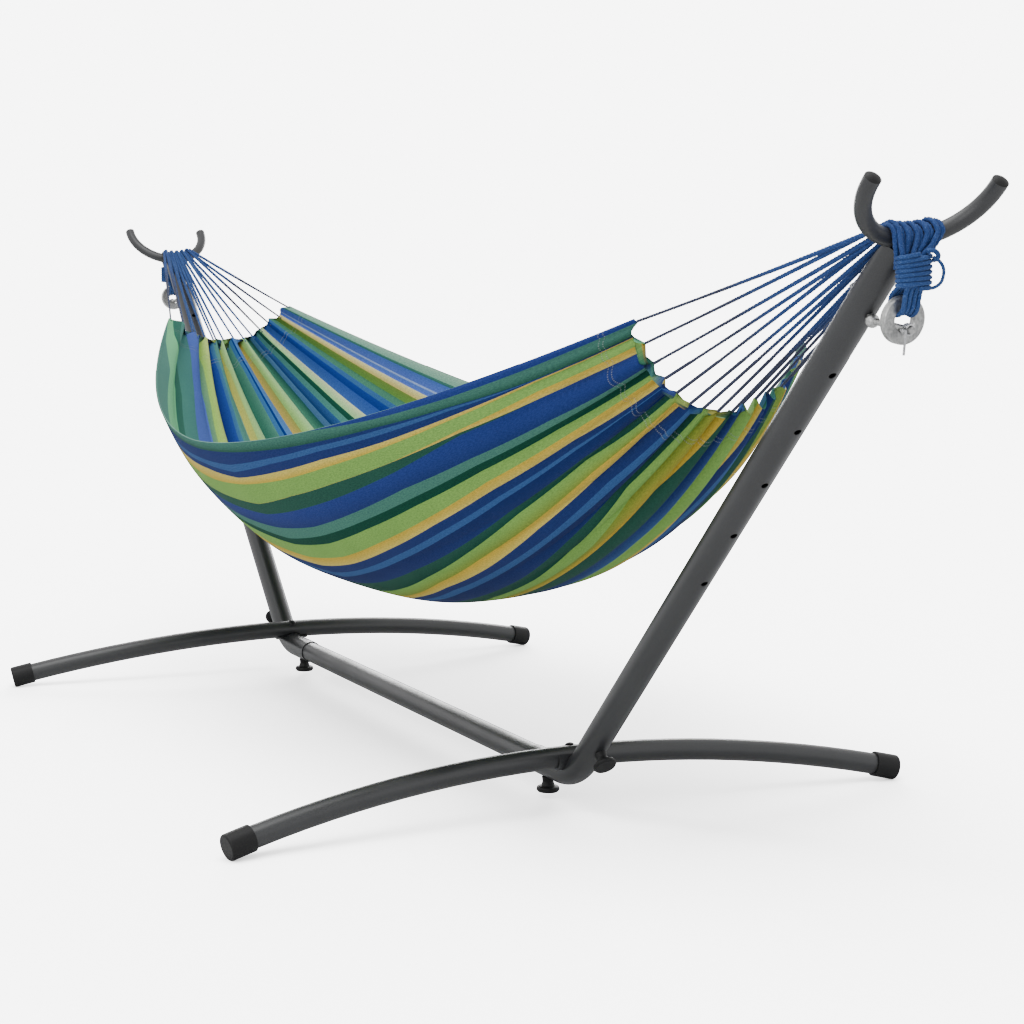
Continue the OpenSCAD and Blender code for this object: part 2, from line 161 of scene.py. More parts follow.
def black_plastic():
    s = Shader("black_plastic")
    grain = s.noise(1500, 2)
    colour = s.mix(s.remap(grain, 0.3, 0.7, 0, 1), srgb(10, 10, 11), srgb(24, 24, 25))
    s.link(colour, s.bsdf.inputs["Base Color"])
    s.link(s.remap(grain, 0.3, 0.7, 0.42, 0.62), s.bsdf.inputs["Roughness"])
    s.put(Specular_IOR_Level=0.25)
    s.bump(grain, 0.0001, 0.4)
    return s.mat


def zinc(name, dark, light, rough):
    s = Shader(name)
    spangle = s.noise(320, 3)
    s.link(s.mix(s.remap(spangle, 0.3, 0.7, 0, 1), dark, light), s.bsdf.inputs["Base Color"])
    s.link(s.remap(spangle, 0.3, 0.7, rough, rough + 0.14), s.bsdf.inputs["Roughness"])
    s.put(Metallic=0.9)
    s.bump(spangle, 0.0001, 0.4)
    return s.mat


STEEL, PLASTIC = powder_steel(), black_plastic()
ZINC = zinc("zinc_plate", srgb(150, 151, 150), srgb(196, 196, 194), 0.3)
BRIGHT = zinc("bright_spring_wire", srgb(170, 171, 173), srgb(215, 215, 216), 0.2)
SLOTS = {"grey_steel": STEEL, "black_plastic": PLASTIC, "black_bolt": PLASTIC, "zinc": ZINC}
slot_of = {s["node"]: s["material_slot"] for s in frame["record"]["subparts"]}
for name, node in frame["nodes"].items():
    look = SLOTS.get(slot_of.get(name))
    if look and node.type == "MESH":
        node.data.materials.clear()
        node.data.materials.append(BRIGHT if "clip" in name else look)


# ---------------------------------------------------------------- mesh helpers
def make_mesh(name, verts, faces, material):
    mesh = bpy.data.meshes.new(name)
    metres = [tuple(v) for v in np.asarray(verts) / 1000]
    mesh.from_pydata(metres, [], [tuple(int(i) for i in f) for f in faces])
    mesh.validate()
    mesh.update()
    mesh.materials.append(material)
    mesh.polygons.foreach_set("use_smooth", [True] * len(mesh.polygons))
    obj = bpy.data.objects.new(name, mesh)
    bpy.context.scene.collection.objects.link(obj)
    return obj


def resample(points, step):
    """Even steps along a smooth line through the points."""
    p = np.asarray(points, float)
    dense = [p[0]]
    for i in range(len(p) - 1):
        a, b, c, d = p[max(i - 1, 0)], p[i], p[i + 1], p[min(i + 2, len(p) - 1)]
        for t in np.linspace(0, 1, 13)[1:]:
            dense.append(0.5 * (2 * b + (c - a) * t + (2 * a - 5 * b + 4 * c - d) * t ** 2
                                + (3 * b - a - 3 * c + d) * t ** 3))
    dense = np.array(dense)
    way = np.concatenate([[0], np.cumsum(np.linalg.norm(np.diff(dense, axis=0), axis=1))])
    n = max(3, int(way[-1] / step) + 1)
    at = np.linspace(0, way[-1], n)
    return np.stack([np.interp(at, way, dense[:, k]) for k in range(3)], 1)


def rope_mesh(points, d, pitch, lobes=3, sides=12, depth=0.2, step=2.0, phase=0.0, swell=None):
    """Twisted rope along a line: a closed tube whose section has lobes that wind along it.

    swell gives the share of d that the rope has at a point.
    """
    p = resample(points, step)
    t = np.gradient(p, axis=0)
    t /= np.linalg.norm(t, axis=1, keepdims=True)
    side = np.cross(t[0], (0.0, 0.0, 1.0) if abs(t[0][2]) < 0.9 else (0.0, 1.0, 0.0))
    rings, way = [], 0.0
    for i in range(len(p)):
        side = side - t[i] * np.dot(side, t[i])
        side /= np.linalg.norm(side)
        up = np.cross(t[i], side)
        if i:
            way += np.linalg.norm(p[i] - p[i - 1])
        spin = phase + 2 * math.pi * way / pitch
        a = np.arange(sides) * 2 * math.pi / sides
        size = d * (swell(p[i]) if swell else 1)
        r = size / 2 * (1 - depth + depth * np.abs(np.cos(lobes / 2 * (a - spin))))
        rings.append(p[i] + (np.cos(a) * r)[:, None] * side + (np.sin(a) * r)[:, None] * up)
    verts = np.concatenate(rings)
    n = len(p)
    i, k = np.meshgrid(np.arange(n - 1), np.arange(sides), indexing="ij")
    a, b = i * sides + k, i * sides + (k + 1) % sides
    faces = np.stack([a, b, b + sides, a + sides], -1).reshape(-1, 4).tolist()
    faces += [list(range(sides - 1, -1, -1)), [(n - 1) * sides + j for j in range(sides)]]
    return verts, faces, p


def join_parts(parts):
    """One mesh's points and faces from several."""
    verts, faces, base = [], [], 0
    for v, f in parts:
        verts.append(v)
        faces += [[x + base for x in q] for q in f]
        base += len(v)
    return np.concatenate(verts), faces


# ---------------------------------------------------------------- cloth surface, of the same form as the CAD
# Distance of each end from the middle: in the middle of the cloth, at its front and at its back edge
NEAR_END, FAR_END = (1024, 1012, 939), (1043, 921, 1010)
GATHER_X, GATHER_Z = 1269, 823
# Turn of the cloth at its edges, half-width and sag of the edges at the front and the back, sag of the middle
FRONT_TURN, BACK_TURN = 40.0, 13.0
FRONT_SPREAD, BACK_SPREAD = 379.0, 456.0
FRONT_SAG, BACK_SAG, MIDDLE_SAG = 306.0, 320.0, 579


def cloth_point(u, v):
    """Point of the smooth cloth: u runs from -1 at the far end to 1 at the near end, v from front to back."""
    u, v = np.broadcast_arrays(np.asarray(u, float), np.asarray(v, float))
    av = np.abs(v)
    front = v < 0
    middle = np.where(u > 0, NEAR_END[0], FAR_END[0])
    near_edge, far_edge = np.where(front, NEAR_END[1], NEAR_END[2]), np.where(front, FAR_END[1], FAR_END[2])
    edge = np.where(u > 0, near_edge, far_edge)
    end = middle + (edge - middle) * av ** 2.4
    power = 2.3 - 0.5 * av ** 2.4
    x = u * end
    k = 1 / (end ** power + power * end ** (power - 1) * (GATHER_X - end))
    g = 1 - k * np.abs(x) ** power
    turn = np.radians(np.where(front, FRONT_TURN, BACK_TURN))
    spread = np.where(front, FRONT_SPREAD, BACK_SPREAD)
    bowl = (1 - np.cos(turn * av)) / (1 - np.cos(turn))
    sag = MIDDLE_SAG + (np.where(front, FRONT_SAG, BACK_SAG) - MIDDLE_SAG) * bowl
    return np.stack([x, spread * np.sin(turn * v) / np.sin(turn) * g, GATHER_Z - sag * g], -1)


def cloth_normal(u, v):
    """Direction out of the cloth's inner side."""
    d = 0.002
    along = cloth_point(u + d, v) - cloth_point(u - d, v)
    n = np.cross(along, cloth_point(u, v + d) - cloth_point(u, v - d))
    return n / np.linalg.norm(n, axis=-1, keepdims=True)


# Creases between the pleats: at the far end they are cut in from inside, at the near end from outside
FAR_CREASES = [-1, -0.80, -0.46, -0.30, -0.10, 0.035, 0.235, 0.385, 0.50, 0.645, 0.80, 0.885, 1.0]
NEAR_CREASES = [-1, -0.972, -0.915, -0.84, -0.70, -0.61, -0.497, -0.378, -0.235, -0.13, -0.025, 0.10, 0.19,
                0.32, 0.45, 0.56, 0.68, 0.79, 0.9, 1.0]


def lobes(v, creases, skew):
    """Height of the pleats, 0 at a crease; narrow pleats are lower."""
    c = np.array(creases)
    k = np.clip(np.searchsorted(c, v, side="right") - 1, 0, len(c) - 2)
    width = c[k + 1] - c[k]
    t = np.clip((v - c[k]) / width, 0, 1)
    return np.sin(math.pi * t ** skew) ** 0.8 * np.clip(width / 0.14, 0.35, 1.25)


# Cords at each end, their diameter and the share of the cloth's width that they take up
CORDS, CORD_D = 16, 4.6
CORD_SPREAD = 0.98
# Depth of the pleats at each end: the near ones bulge outwards, the far ones inwards
NEAR_PLEAT, FAR_PLEAT = -15.0, 17.0


def cord_v(k):
    """Place of a cord across the cloth's end."""
    return (-1 + 2 * k / (CORDS - 1)) * CORD_SPREAD


def scallop(v):
    """0 where a cord pulls on the cloth's end, 1 half-way to the next one."""
    return np.abs(np.sin(math.pi * (v / CORD_SPREAD + 1) / 2 * (CORDS - 1))) ** 0.9


def cloth_shape(u, v, lift):
    """Point of the pleated cloth; lift is the distance to the inner side of its middle layer."""
    near = lobes(v, NEAR_CREASES, 1.15)
    far = lobes(v, FAR_CREASES, 1.5)
    au = np.abs(u)
    depth = np.where(u > 0, NEAR_PLEAT * near, FAR_PLEAT * far)
    fade = np.clip((au - 0.25) / 0.75, 0, 1) ** 1.7
    wave = 2.2 * np.sin(9.0 * v + 3.1 * u) * np.sin(2.3 * u + 4.0 * v) * (1 - fade)
    last = np.clip((au - 0.93) / 0.07, 0, 1)
    # At the near end a cord draws the cloth out to a tip, at the far end the cloth swells between cords
    pull = np.where(u > 0, 0.55 - scallop(v), scallop(v) - 0.45)
    grow = 1 + 0.014 * pull * last
    # The front edge stands a little higher towards the near end
    rim = np.where(v < 0, np.abs(v) ** 6, 0) * np.clip((u - 0.3) / 0.7, 0, 1)
    p = cloth_point(u * grow, v)
    n = cloth_normal(u, v)
    roll = np.clip((au - 0.975) / 0.025, 0, 1)
    p = p + n * (depth * fade + wave + lift * (1 - 0.35 * roll))[..., None]
    return p + rim[..., None] * np.array([0, -1.0, 5.0])


# ---------------------------------------------------------------- stripes
NAVY, NAVY2, ROYAL = (35, 51, 104), (28, 43, 92), (42, 59, 124)
STEELB, GOLD, CREAM = (52, 86, 138), (196, 164, 62), (208, 188, 96)
GREEN, OLIVE, SEA = (124, 166, 84), (126, 140, 56), (70, 118, 106)
DARKG, DEEPG = (38, 80, 68), (14, 66, 52)
STATIONS = [-1.0, -0.04, 0.10, 0.25, 0.40, 0.55, 0.70, 0.85, 0.93, 1.0]
# Each outer stripe from the front edge down: its colours at its two sides, and v of its lower edge by station
OUTER = [
    (ROYAL, ROYAL, [-.9995, -.9995, -.9995, -.9995, -.9995, -.985, -.976, -.972, -.974, -.975]),
    (SEA, DARKG, [-.975, -.975, -.972, -.969, -.965, -.960, -.947, -.924, -.918, -.915]),
    (NAVY, NAVY, [-.940, -.938, -.930, -.944, -.953, -.951, -.944, -.922, -.9175, -.9145]),
    (STEELB, STEELB, [-.922, -.920, -.905, -.927, -.938, -.936, -.936, -.9205, -.917, -.914]),
    (NAVY, NAVY, [-.900, -.900, -.885, -.900, -.913, -.913, -.917, -.919, -.913, -.910]),
    (CREAM, GOLD, [-.858, -.858, -.862, -.873, -.888, -.897, -.907, -.913, -.909, -.906]),
    (GREEN, GREEN, [-.793, -.793, -.788, -.818, -.836, -.847, -.866, -.878, -.869, -.860]),
    (GOLD, CREAM, [-.7925, -.7925, -.7875, -.8175, -.8355, -.8465, -.857, -.848, -.836, -.820]),
    (DARKG, DARKG, [-.749, -.749, -.746, -.769, -.791, -.815, -.848, -.8475, -.8355, -.8195]),
    (ROYAL, NAVY, [-.690, -.690, -.689, -.700, -.728, -.756, -.762, -.752, -.735, -.728]),
    (SEA, SEA, [-.652, -.652, -.640, -.662, -.691, -.715, -.730, -.722, -.712, -.703]),
    (DEEPG, DEEPG, [-.620, -.620, -.611, -.627, -.661, -.686, -.699, -.694, -.682, -.670]),
    (GREEN, GREEN, [-.550, -.550, -.542, -.560, -.598, -.628, -.656, -.655, -.650, -.640]),
    (GOLD, CREAM, [-.495, -.495, -.490, -.519, -.560, -.594, -.615, -.612, -.592, -.575]),
    (NAVY, NAVY, [-.445, -.445, -.439, -.482, -.526, -.560, -.582, -.585, -.573, -.560]),
    (STEELB, STEELB, [-.410, -.410, -.404, -.457, -.499, -.535, -.562, -.572, -.568, -.556]),
    (NAVY2, NAVY, [-.350, -.350, -.346, -.388, -.435, -.467, -.500, -.517, -.497, -.487]),
    (DARKG, DEEPG, [-.240, -.240, -.250, -.315, -.377, -.428, -.473, -.493, -.470, -.460]),
    (GREEN, OLIVE, [-.170, -.170, -.180, -.253, -.328, -.370, -.400, -.434, -.430, -.420]),
    (GOLD, CREAM, [-.130, -.130, -.140, -.224, -.288, -.319, -.358, -.380, -.378, -.360]),
    (NAVY, NAVY, [-.090, -.090, -.100, -.190, -.255, -.285, -.306, -.333, -.321, -.310]),
    (STEELB, STEELB, [-.060, -.060, -.070, -.160, -.220, -.250, -.277, -.290, -.279, -.270]),
    (NAVY2, NAVY, [.000, .000, -.010, -.100, -.137, -.159, -.205, -.240, -.235, -.230]),
    (DARKG, DEEPG, [.090, .090, .080, .006, -.081, -.097, -.137, -.215, -.210, -.200]),
    (GREEN, GREEN, [.150, .150, .140, .060, -.020, -.040, -.070, -.139, -.126, -.115]),
    (OLIVE, GOLD, [.200, .200, .190, .110, .020, .000, -.012, -.023, .006, .030]),
    (DARKG, DARKG, [.270, .270, .260, .180, .090, .075, .061, .097, .110, .115]),
    (NAVY, STEELB, [.330, .330, .320, .250, .170, .160, .150, .184, .190, .195]),
    (GREEN, GREEN, [.390, .390, .380, .310, .250, .240, .250, .297, .330, .340]),
]
# The outer stripes behind those, which the photo hides: colours and width
TAIL = [(GOLD, CREAM, 3), (NAVY, NAVY, 4), (STEELB, STEELB, 3), (NAVY2, NAVY, 6), (DARKG, DEEPG, 6),
        (GREEN, OLIVE, 7), (GOLD, CREAM, 4), (ROYAL, NAVY, 7), (SEA, SEA, 4), (DEEPG, DEEPG, 3),
        (GREEN, GREEN, 7), (GOLD, CREAM, 3), (NAVY, NAVY, 3), (STEELB, STEELB, 3), (NAVY, NAVY, 3),
        (SEA, SEA, 3)]
# The same for the inner side, whose front stripes change their widths close to the far end
IN_STATIONS = [-1.0, -0.97, -0.93, -0.88, -0.82, -0.76, 1.0]
LILAC, MINT, LIME = (84, 108, 192), (122, 204, 148), (160, 202, 96)
INNER_ENDS = [
    ((82, 134, 122), (88, 140, 128), [-.9995, -.9995, -.985, -.975, -.940, -.902, -.90]),
    (MINT, MINT, [-.970, -.958, -.931, -.842, -.804, -.780, -.78]),
    ((50, 108, 92), (58, 112, 98), [-.910, -.900, -.880, -.780, -.750, -.722, -.72]),
    ((80, 138, 128), (76, 128, 126), [-.720, -.697, -.655, -.633, -.611, -.608, -.60]),
    (LILAC, LILAC, [-.520, -.517, -.477, -.464, -.447, -.446, -.44]),
    ((96, 142, 118), (120, 165, 110), [-.460, -.455, -.422, -.412, -.406, -.410, -.41]),
]
# The other inner stripes: colours and v of the edge towards the back
INNER = [(LIME, (216, 230, 134), -.307), ((22, 42, 108), (40, 72, 150), -.215),
         ((58, 100, 148), (72, 122, 150), -.178),
         ((84, 138, 130), (96, 146, 134), -.092), ((192, 186, 92), (176, 184, 96), -.040),
         ((160, 196, 116), (176, 222, 160), .032), ((44, 98, 82), (82, 134, 118), .126),
         ((58, 106, 156), (58, 106, 156), .160), ((8, 46, 112), (16, 56, 124), .180),
         ((78, 124, 186), (88, 134, 190), .235), ((190, 164, 84), (150, 150, 76), .290),
         ((144, 184, 100), (172, 216, 152), .370), ((72, 128, 104), (24, 76, 74), .432),
         ((64, 100, 136), (64, 100, 136), .468), ((14, 50, 96), (52, 92, 148), .525),
         ((78, 138, 132), (80, 136, 124), .560),
         ((20, 74, 60), (24, 78, 62), .590), ((154, 200, 140), (212, 220, 170), .648),
         ((60, 94, 168), (50, 82, 160), .708), ((20, 52, 130), (28, 62, 140), .745),
         ((54, 96, 146), (54, 96, 146), .772), ((70, 122, 104), (70, 120, 96), .808),
         ((98, 138, 66), (108, 132, 60), .846), ((196, 178, 104), (214, 206, 146), .880),
         (LILAC, (86, 116, 196), .903), ((150, 170, 220), (150, 170, 220), .911),
         (LILAC, (66, 98, 170), .950),
         ((52, 98, 96), (70, 118, 104), .962), ((122, 166, 146), (140, 176, 156), 1.0)]


def full_table(rows, stations, ends):
    """Edges (stripe, station) from v -1 to 1 and the colour pairs of the stripes.

    The stripes of ends share what is left behind the last row by their widths.
    """
    edges = [[-1.0] * len(stations)] + [list(r[2]) for r in rows]
    colours = [(r[0], r[1]) for r in rows]
    total = sum(w for _, _, w in ends)
    last, run = np.array(edges[-1]), 0.0
    for a, b, w in ends:
        run += w
        edges.append(list(last + (1 - last) * run / total))
        colours.append((a, b))
    return np.array(edges), colours


outer_edges, outer_colours = full_table(OUTER, STATIONS, TAIL)
steps, before = [], INNER_ENDS[-1][2][-1]
for a, b, edge in INNER:
    steps.append((a, b, edge - before))
    before = edge
inner_edges, inner_colours = full_table(INNER_ENDS, IN_STATIONS, steps)


def columns(edges, count):
    """Share the columns among the stripes by width: (stripe, share of the way across it) per column edge."""
    size = np.diff(edges.mean(1))
    each = np.maximum(2, np.round(size / size.sum() * count).astype(int))
    while each.sum() != count:
        k = np.argmax(each) if each.sum() > count else np.argmax(size / each)
        each[k] += 1 if each.sum() < count else -1
    return [(k, j / n, (j + 1) / n) for k, n in enumerate(each) for j in range(n)]


def layer(edges, stations, cols, us, lift):
    """Points of one side of the cloth, a row for each of us, and their v."""
    at = np.stack([np.interp(us, stations, e) for e in edges])
    v = np.array([at[k] + (at[k + 1] - at[k]) * t0 for k, t0, _ in cols] + [at[-1]]).T
    return cloth_shape(us[:, None] + 0 * v, v, lift), v


# Rows lie closer together towards the ends, where the pleats are
N_COLS, N_ROWS = 320, 190
even = np.linspace(-1, 1, N_ROWS)
us = np.sign(even) * (1 - (1 - np.abs(even)) ** 1.25)
outer_cols, inner_cols = columns(outer_edges, N_COLS), columns(inner_edges, N_COLS)
HALF_THICK = 1.0
outer_p, outer_v = layer(outer_edges, STATIONS, outer_cols, us, -HALF_THICK)
inner_p, inner_v = layer(inner_edges, IN_STATIONS, inner_cols, us, HALF_THICK)
row_len = N_COLS + 1
n_side = N_ROWS * row_len
i, j = np.meshgrid(np.arange(N_ROWS - 1), np.arange(N_COLS), indexing="ij")
first = (i * row_len + j).reshape(-1)
outer_faces = np.stack([first, first + row_len, first + row_len + 1, first + 1], 1)
inner_faces = np.stack([first, first + 1, first + row_len + 1, first + row_len], 1) + n_side
rows = np.arange(N_ROWS - 1) * row_len
rim_front = np.stack([rows, rows + n_side, rows + row_len + n_side, rows + row_len], 1)
back = rows + N_COLS
rim_back = np.stack([back, back + row_len, back + row_len + n_side, back + n_side], 1)
across = np.arange(N_COLS)
end_far = np.stack([across, across + 1, across + 1 + n_side, across + n_side], 1)
last_row = across + (N_ROWS - 1) * row_len
end_near = np.stack([last_row, last_row + n_side, last_row + 1 + n_side, last_row + 1], 1)
faces = np.concatenate([outer_faces, inner_faces, rim_front, rim_back, end_far, end_near])


def corner_colours(cols, pairs):
    """Colours at the two sides of each column."""
    lo, hi = [], []
    for k, t0, t1 in cols:
        ca, cb = np.array(srgb(*pairs[k][0])), np.array(srgb(*pairs[k][1]))
        lo.append(ca + (cb - ca) * t0 ** 1.5)
        hi.append(ca + (cb - ca) * t1 ** 1.5)
    return np.array(lo), np.array(hi)


o_lo, o_hi = corner_colours(outer_cols, outer_colours)
i_lo, i_hi = corner_colours(inner_cols, inner_colours)
per_outer = np.stack([o_lo, o_lo, o_hi, o_hi], 1)
per_inner = np.stack([i_lo, i_hi, i_hi, i_lo], 1)
hem_col = np.array(srgb(112, 158, 140))
corners = np.concatenate([
    np.tile(per_outer, (N_ROWS - 1, 1, 1)), np.tile(per_inner, (N_ROWS - 1, 1, 1)),
    np.tile(hem_col, (2 * (N_ROWS - 1), 4, 1)),
    np.stack([o_lo, o_hi, i_hi, i_lo], 1), np.stack([o_lo, i_lo, i_hi, o_hi], 1)])

# Places along the cloth, for the seams, and across it, for the weave, in millimetres
HALF_LENGTH, HALF_WIDTH = 1030, 520
along = np.concatenate([np.repeat(us, row_len)] * 2) * HALF_LENGTH
over = np.concatenate([outer_v.reshape(-1), inner_v.reshape(-1)]) * HALF_WIDTH
# The two seams of each end band, by their distance from the cloth's end
SEAMS = (44, 51)


def cloth_material():
    s = Shader("striped_canvas")
    stripe = s.node("ShaderNodeAttribute", attribute_name="stripe").outputs["Color"]
    uv = s.node("ShaderNodeUVMap", uv_map="lay").outputs["UV"]
    x, y = s.split(uv)
    threads = s.node("ShaderNodeMapping")
    threads.inputs["Scale"].default_value = (0.35, 1.0, 1.0)
    s.link(uv, threads.inputs["Vector"])
    heather = s.noise(0.55, 4, threads.outputs["Vector"], 0.7)
    fine = s.noise(1.6, 2, uv, 0.6)
    cloud = s.noise(0.012, 3, uv)
    light, dark = s.tint(stripe, (1.22, 1.2, 1.12)), s.tint(stripe, (0.72, 0.78, 0.8))
    colour = s.mix(s.remap(heather, 0.40, 0.62, 0, 1), light, dark)
    colour = s.mix(s.remap(fine, 0.55, 0.72, 0, 0.5), colour, s.tint(colour, (1.6, 1.5, 1.4)))
    colour = s.mix(s.remap(cloud, 0.3, 0.7, 0, 0.5), colour, s.tint(colour, (0.82, 0.84, 0.88)))
    warp = s.math("SINE", s.math("MULTIPLY", y, 2.6), 0)
    weft = s.math("SINE", s.math("MULTIPLY", x, 1.9), 0)
    weave = s.math("ADD", s.math("MULTIPLY", warp, 0.5), s.math("MULTIPLY", weft, 0.5))
    from_end = s.math("SUBTRACT", HALF_LENGTH, s.math("ABSOLUTE", x, 0))
    seams = None
    for place in SEAMS:
        gap = s.math("ABSOLUTE", s.math("SUBTRACT", from_end, place), 0)
        line = s.remap(gap, 1.2, 0.6, 0, 1)
        seams = line if seams is None else s.math("MAXIMUM", seams, line)
    dash = s.remap(s.math("SINE", s.math("MULTIPLY", y, 1.2), 0), -0.3, 0.1, 0, 1)
    thread = s.math("MULTIPLY", seams, dash)
    colour = s.mix(s.math("MULTIPLY", thread, 0.28), colour, srgb(190, 200, 200))
    s.link(colour, s.bsdf.inputs["Base Color"])
    s.link(s.remap(heather, 0.3, 0.7, 0.78, 0.94), s.bsdf.inputs["Roughness"])
    s.put(Specular_IOR_Level=0.03, Sheen_Weight=0.03, Sheen_Roughness=0.4)
    height = s.math("ADD", s.math("MULTIPLY", weave, 0.35), s.math("MULTIPLY", heather, 1.6))
    height = s.math("SUBTRACT", height, s.math("MULTIPLY", seams, 2.2))
    s.bump(height, 0.0006, 0.8)
    return s.mat


cloth_verts = np.concatenate([outer_p.reshape(-1, 3), inner_p.reshape(-1, 3)])
cloth = make_mesh("striped_bed", cloth_verts, faces, cloth_material())
attr = cloth.data.color_attributes.new("stripe", "FLOAT_COLOR", "CORNER")
attr.data.foreach_set("color", corners.reshape(-1).astype(np.float32))
uv = cloth.data.uv_layers.new(name="lay")
loop_verts = faces.reshape(-1)
lay = np.stack([along[loop_verts], over[loop_verts]], 1)
uv.data.foreach_set("uv", lay.reshape(-1).astype(np.float32))
panels = [name for name in frame["nodes"] if name.startswith("bed_panel_")]
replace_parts(cloth, *panels, "front_hem", "back_hem", "near_end_band", "far_end_band")
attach(cloth, "bed")


# ---------------------------------------------------------------- cords
# Distance from the middle, in metres, over which the dark cords turn blue
DYE_FADE = (1.16, 1.25)


def cord_material(name, low, high, fleck_and_highlight, far_low=None, far_high=None):
    """Cotton cord; where far_low is given, the cord has those colours until it nears a horn."""
    s = Shader(name)
    fibre = s.noise(1400, 3)
    patch = s.noise(60, 2)
    if far_low:
        x, _ = s.split(s.place())
        uneven = s.math("ADD", s.math("ABSOLUTE", x, 0), s.remap(s.noise(7, 1), 0, 1, -0.12, 0.12))
        near_horn = s.remap(uneven, *DYE_FADE, 0, 1)
        low = s.mix(near_horn, far_low, low)
        high = s.mix(near_horn, far_high, high)
    colour = s.mix(s.remap(fibre, 0.3, 0.7, 0, 1), low, high)
    # Light flecks where the fibre noise is high: partly the cotton's own flecks, partly a painted highlight
    # standing in for the shine on the twisted strands
    colour = s.mix(s.remap(fibre, 0.56, 0.72, 0, 0.85), colour, fleck_and_highlight)
    colour = s.mix(s.remap(patch, 0.35, 0.65, 0, 0.25), colour, low)
    s.link(colour, s.bsdf.inputs["Base Color"])
    s.link(s.remap(fibre, 0.3, 0.7, 0.7, 0.9), s.bsdf.inputs["Roughness"])
    s.put(Specular_IOR_Level=0.2, Sheen_Weight=0.08, Sheen_Roughness=0.4)
    s.bump(fibre, 0.0005, 0.7)
    return s.mat


# The third colour of each cord is its light fleck, which is partly a painted highlight on the rope's twist
BLUE = cord_material("blue_cotton_rope", srgb(17, 44, 94), srgb(54, 94, 158), srgb(140, 170, 214))
CORD = cord_material("dyed_cotton_cord", srgb(17, 44, 94), srgb(50, 86, 152), srgb(120, 148, 200),
                     srgb(30, 32, 50), srgb(66, 68, 88))
# The horn's bend and tube, the post's lean, and the horn's lowest point from the post's foot, as in the CAD
HORN_R, HORN_TUBE = 84.0, 20.0
LEAN = math.radians(45)
POST_FOOT, POST_REACH = (630, 0, 52.5), 1093
ALONG_POST = np.array([math.sin(LEAN), 0, math.cos(LEAN)])
BAR = np.array(POST_FOOT) + POST_REACH * ALONG_POST


def bar_centre(y):
    """Middle of the near horn's tube at y."""
    return BAR + ALONG_POST * (HORN_R - math.sqrt(HORN_R ** 2 - y * y)) + np.array([0, y, 0])


def over_bar(start, y, r, whip):
    """Line from the cloth over the horn bar and down into the whipping, at the near end."""
    c = bar_centre(y)
    dx, dz = c[0] - start[0], c[2] - start[2]
    lead = math.asin(r / math.hypot(dx, dz))
    first = math.atan2(dz, dx) + lead + math.pi / 2
    pts = [start]
    touch = c + r * np.array([math.cos(first), 0, math.sin(first)])
    for t in (0.25, 0.5, 0.75, 0.9):
        drop = CORD_SAG * 4 * t * (1 - t)
        pts.append(start + (touch - start) * t - np.array([0, 0, drop]))
    for a in np.linspace(first, math.radians(8), 7):
        pts.append(c + r * np.array([math.cos(a), 0, math.sin(a)]))
    pts.append(np.array([0.5 * (pts[-1][0] + whip[0]), 0.55 * y + 0.45 * whip[1], 818]))
    pts.append(np.array([whip[0], whip[1], 808]))
    pts.append(np.array([whip[0], whip[1], 792]))
    return np.array(pts)


# Share of CORD_D at the cloth and at the horn, and where the change begins at each end and how long it is
THIN, THICK = 0.86, 1.40
THICKEN_FROM, THICKEN_OVER = {1: 1120, -1: 1040}, 200
# Sag of a cord's middle, and first place and width of the cords on each horn
CORD_SAG = 1.4
ON_BAR = {1: (-22, 64), -1: (-24, 68)}
# Gap between a cord and the horn, rise of the cords of the upper layer, and depth of the lay's grooves
BAR_GAP, LAYER_RISE, LAY_DEPTH = 0.3, 4.4, 0.26


def end_point(side, v):
    """Where a cord leaves the cloth: just inside its edge."""
    u = side * (0.999 if side > 0 else 0.997)
    return np.asarray(cloth_shape(np.array(u), np.array(v), 0.0), float)


def thicken(point):
    """The cords are thin at the cloth and are laid up thicker on their way to the horn."""
    start = THICKEN_FROM[1 if point[0] > 0 else -1]
    return THIN + (THICK - THIN) * min(max((abs(point[0]) - start) / THICKEN_OVER, 0), 1)


def cord_line(side, k):
    """Line of a cord. Every third one lies on top of its neighbours on the horn."""
    flip = np.array([side, 1, 1])
    level = 1 if k % 3 == 1 else 0
    first, width = ON_BAR[side]
    y = first + width * (k + 0.5) / CORDS
    r = HORN_TUBE / 2 + CORD_D * THICK / 2 + BAR_GAP + LAYER_RISE * level
    whip = (1418 + 5 * level + 3 * (k % 2), -17 + 34 * k / (CORDS - 1))
    return over_bar(end_point(side, cord_v(k)) * flip, y, r, whip) * flip


# Two cords at the front of the far end and the last four are dyed dark like the near ones
ENDS = ((1, "near"), (-1, "far"))
for side, label in ENDS:
    for k in range(CORDS):
        line, pitch = cord_line(side, k), 15 if k % 2 else 17
        verts, quads, path = rope_mesh(line, CORD_D, pitch, depth=LAY_DEPTH, phase=k * 0.9, swell=thicken)
        cord = make_mesh(f"{label}_cord_{k:02d}", verts, quads, CORD if side > 0 or k < 2 or k > 11 else BLUE)
        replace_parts(cord, f"{label}_cords", f"{label}_gather", f"{label}_bar_wrap", f"{label}_rope_drop")
        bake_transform(cord)

# ---------------------------------------------------------------- whipping, eye and tail
# Axis of the whipping, its half-widths, its lowest turn, and the number and rise of its turns
WHIP_X, WHIP_A, WHIP_B, WHIP_Z = 1427.0, 10.5, 20.5, 771.5
TURNS, RISE = 7, 5.35
# How far the last turn slants, as a share of its half-width
SLANT = 0.16
# Middle of the steel ring's section at its top, radius of the loops round it, and the ring's own radius there
EYE, EYE_R, RING_R = (1410.5, 0, 757.4), 12.6, 20.25
EYE_LOOPS = (-9.3, -3.2, 3.2, 9.3)


